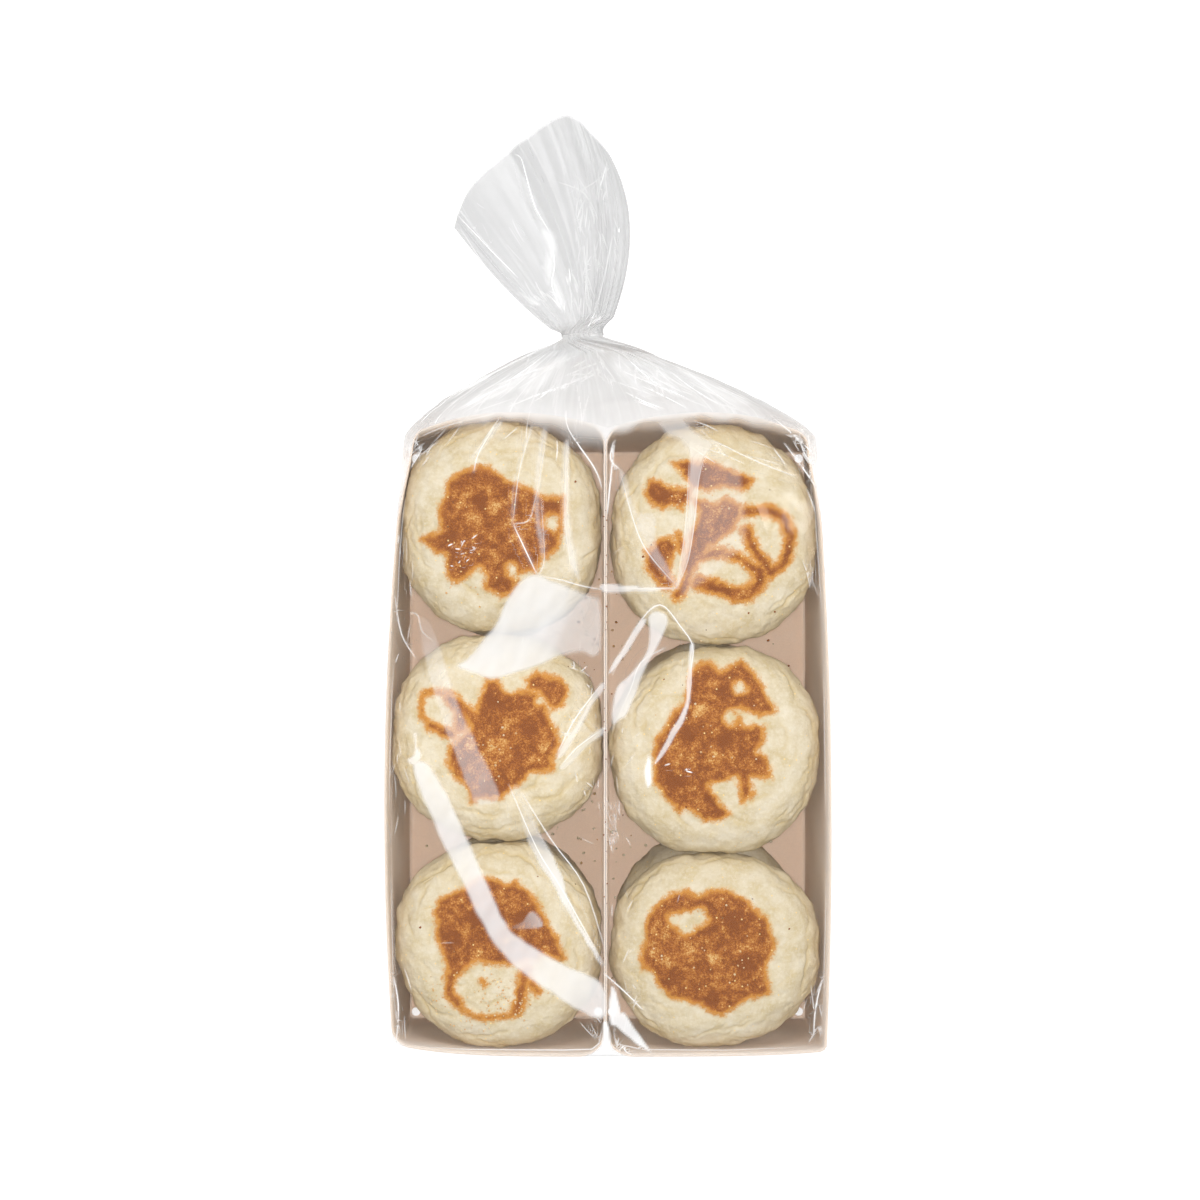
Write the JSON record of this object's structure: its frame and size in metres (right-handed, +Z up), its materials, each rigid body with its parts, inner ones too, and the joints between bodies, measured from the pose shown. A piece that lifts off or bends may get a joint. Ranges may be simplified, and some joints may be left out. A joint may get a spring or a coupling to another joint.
{
  "type": "bagged english muffin pack",
  "caption": "Clear bag with a twisted neck, drawn round two paperboard trays of griddled English muffins in two layers.",
  "frame": {"origin": "centre of the bounding box in X and Y, on the surface that the trays' floors rest on", "axes": "+Y along the pack from its square end to the loose fan of the bag, +Z up through the muffins' faces, +X across the two trays"},
  "size_m": [0.191, 0.411, 0.075],
  "materials": {
    "film": "clear glossy plastic film with fine creases",
    "board": "plain matte white paperboard, stands in for board",
    "crumb": "matte cream bread skin, browned in patches on the faces"
  },
  "bodies": {
    "root": {"muffin_bag": "film"}
  },
  "joints": []
}
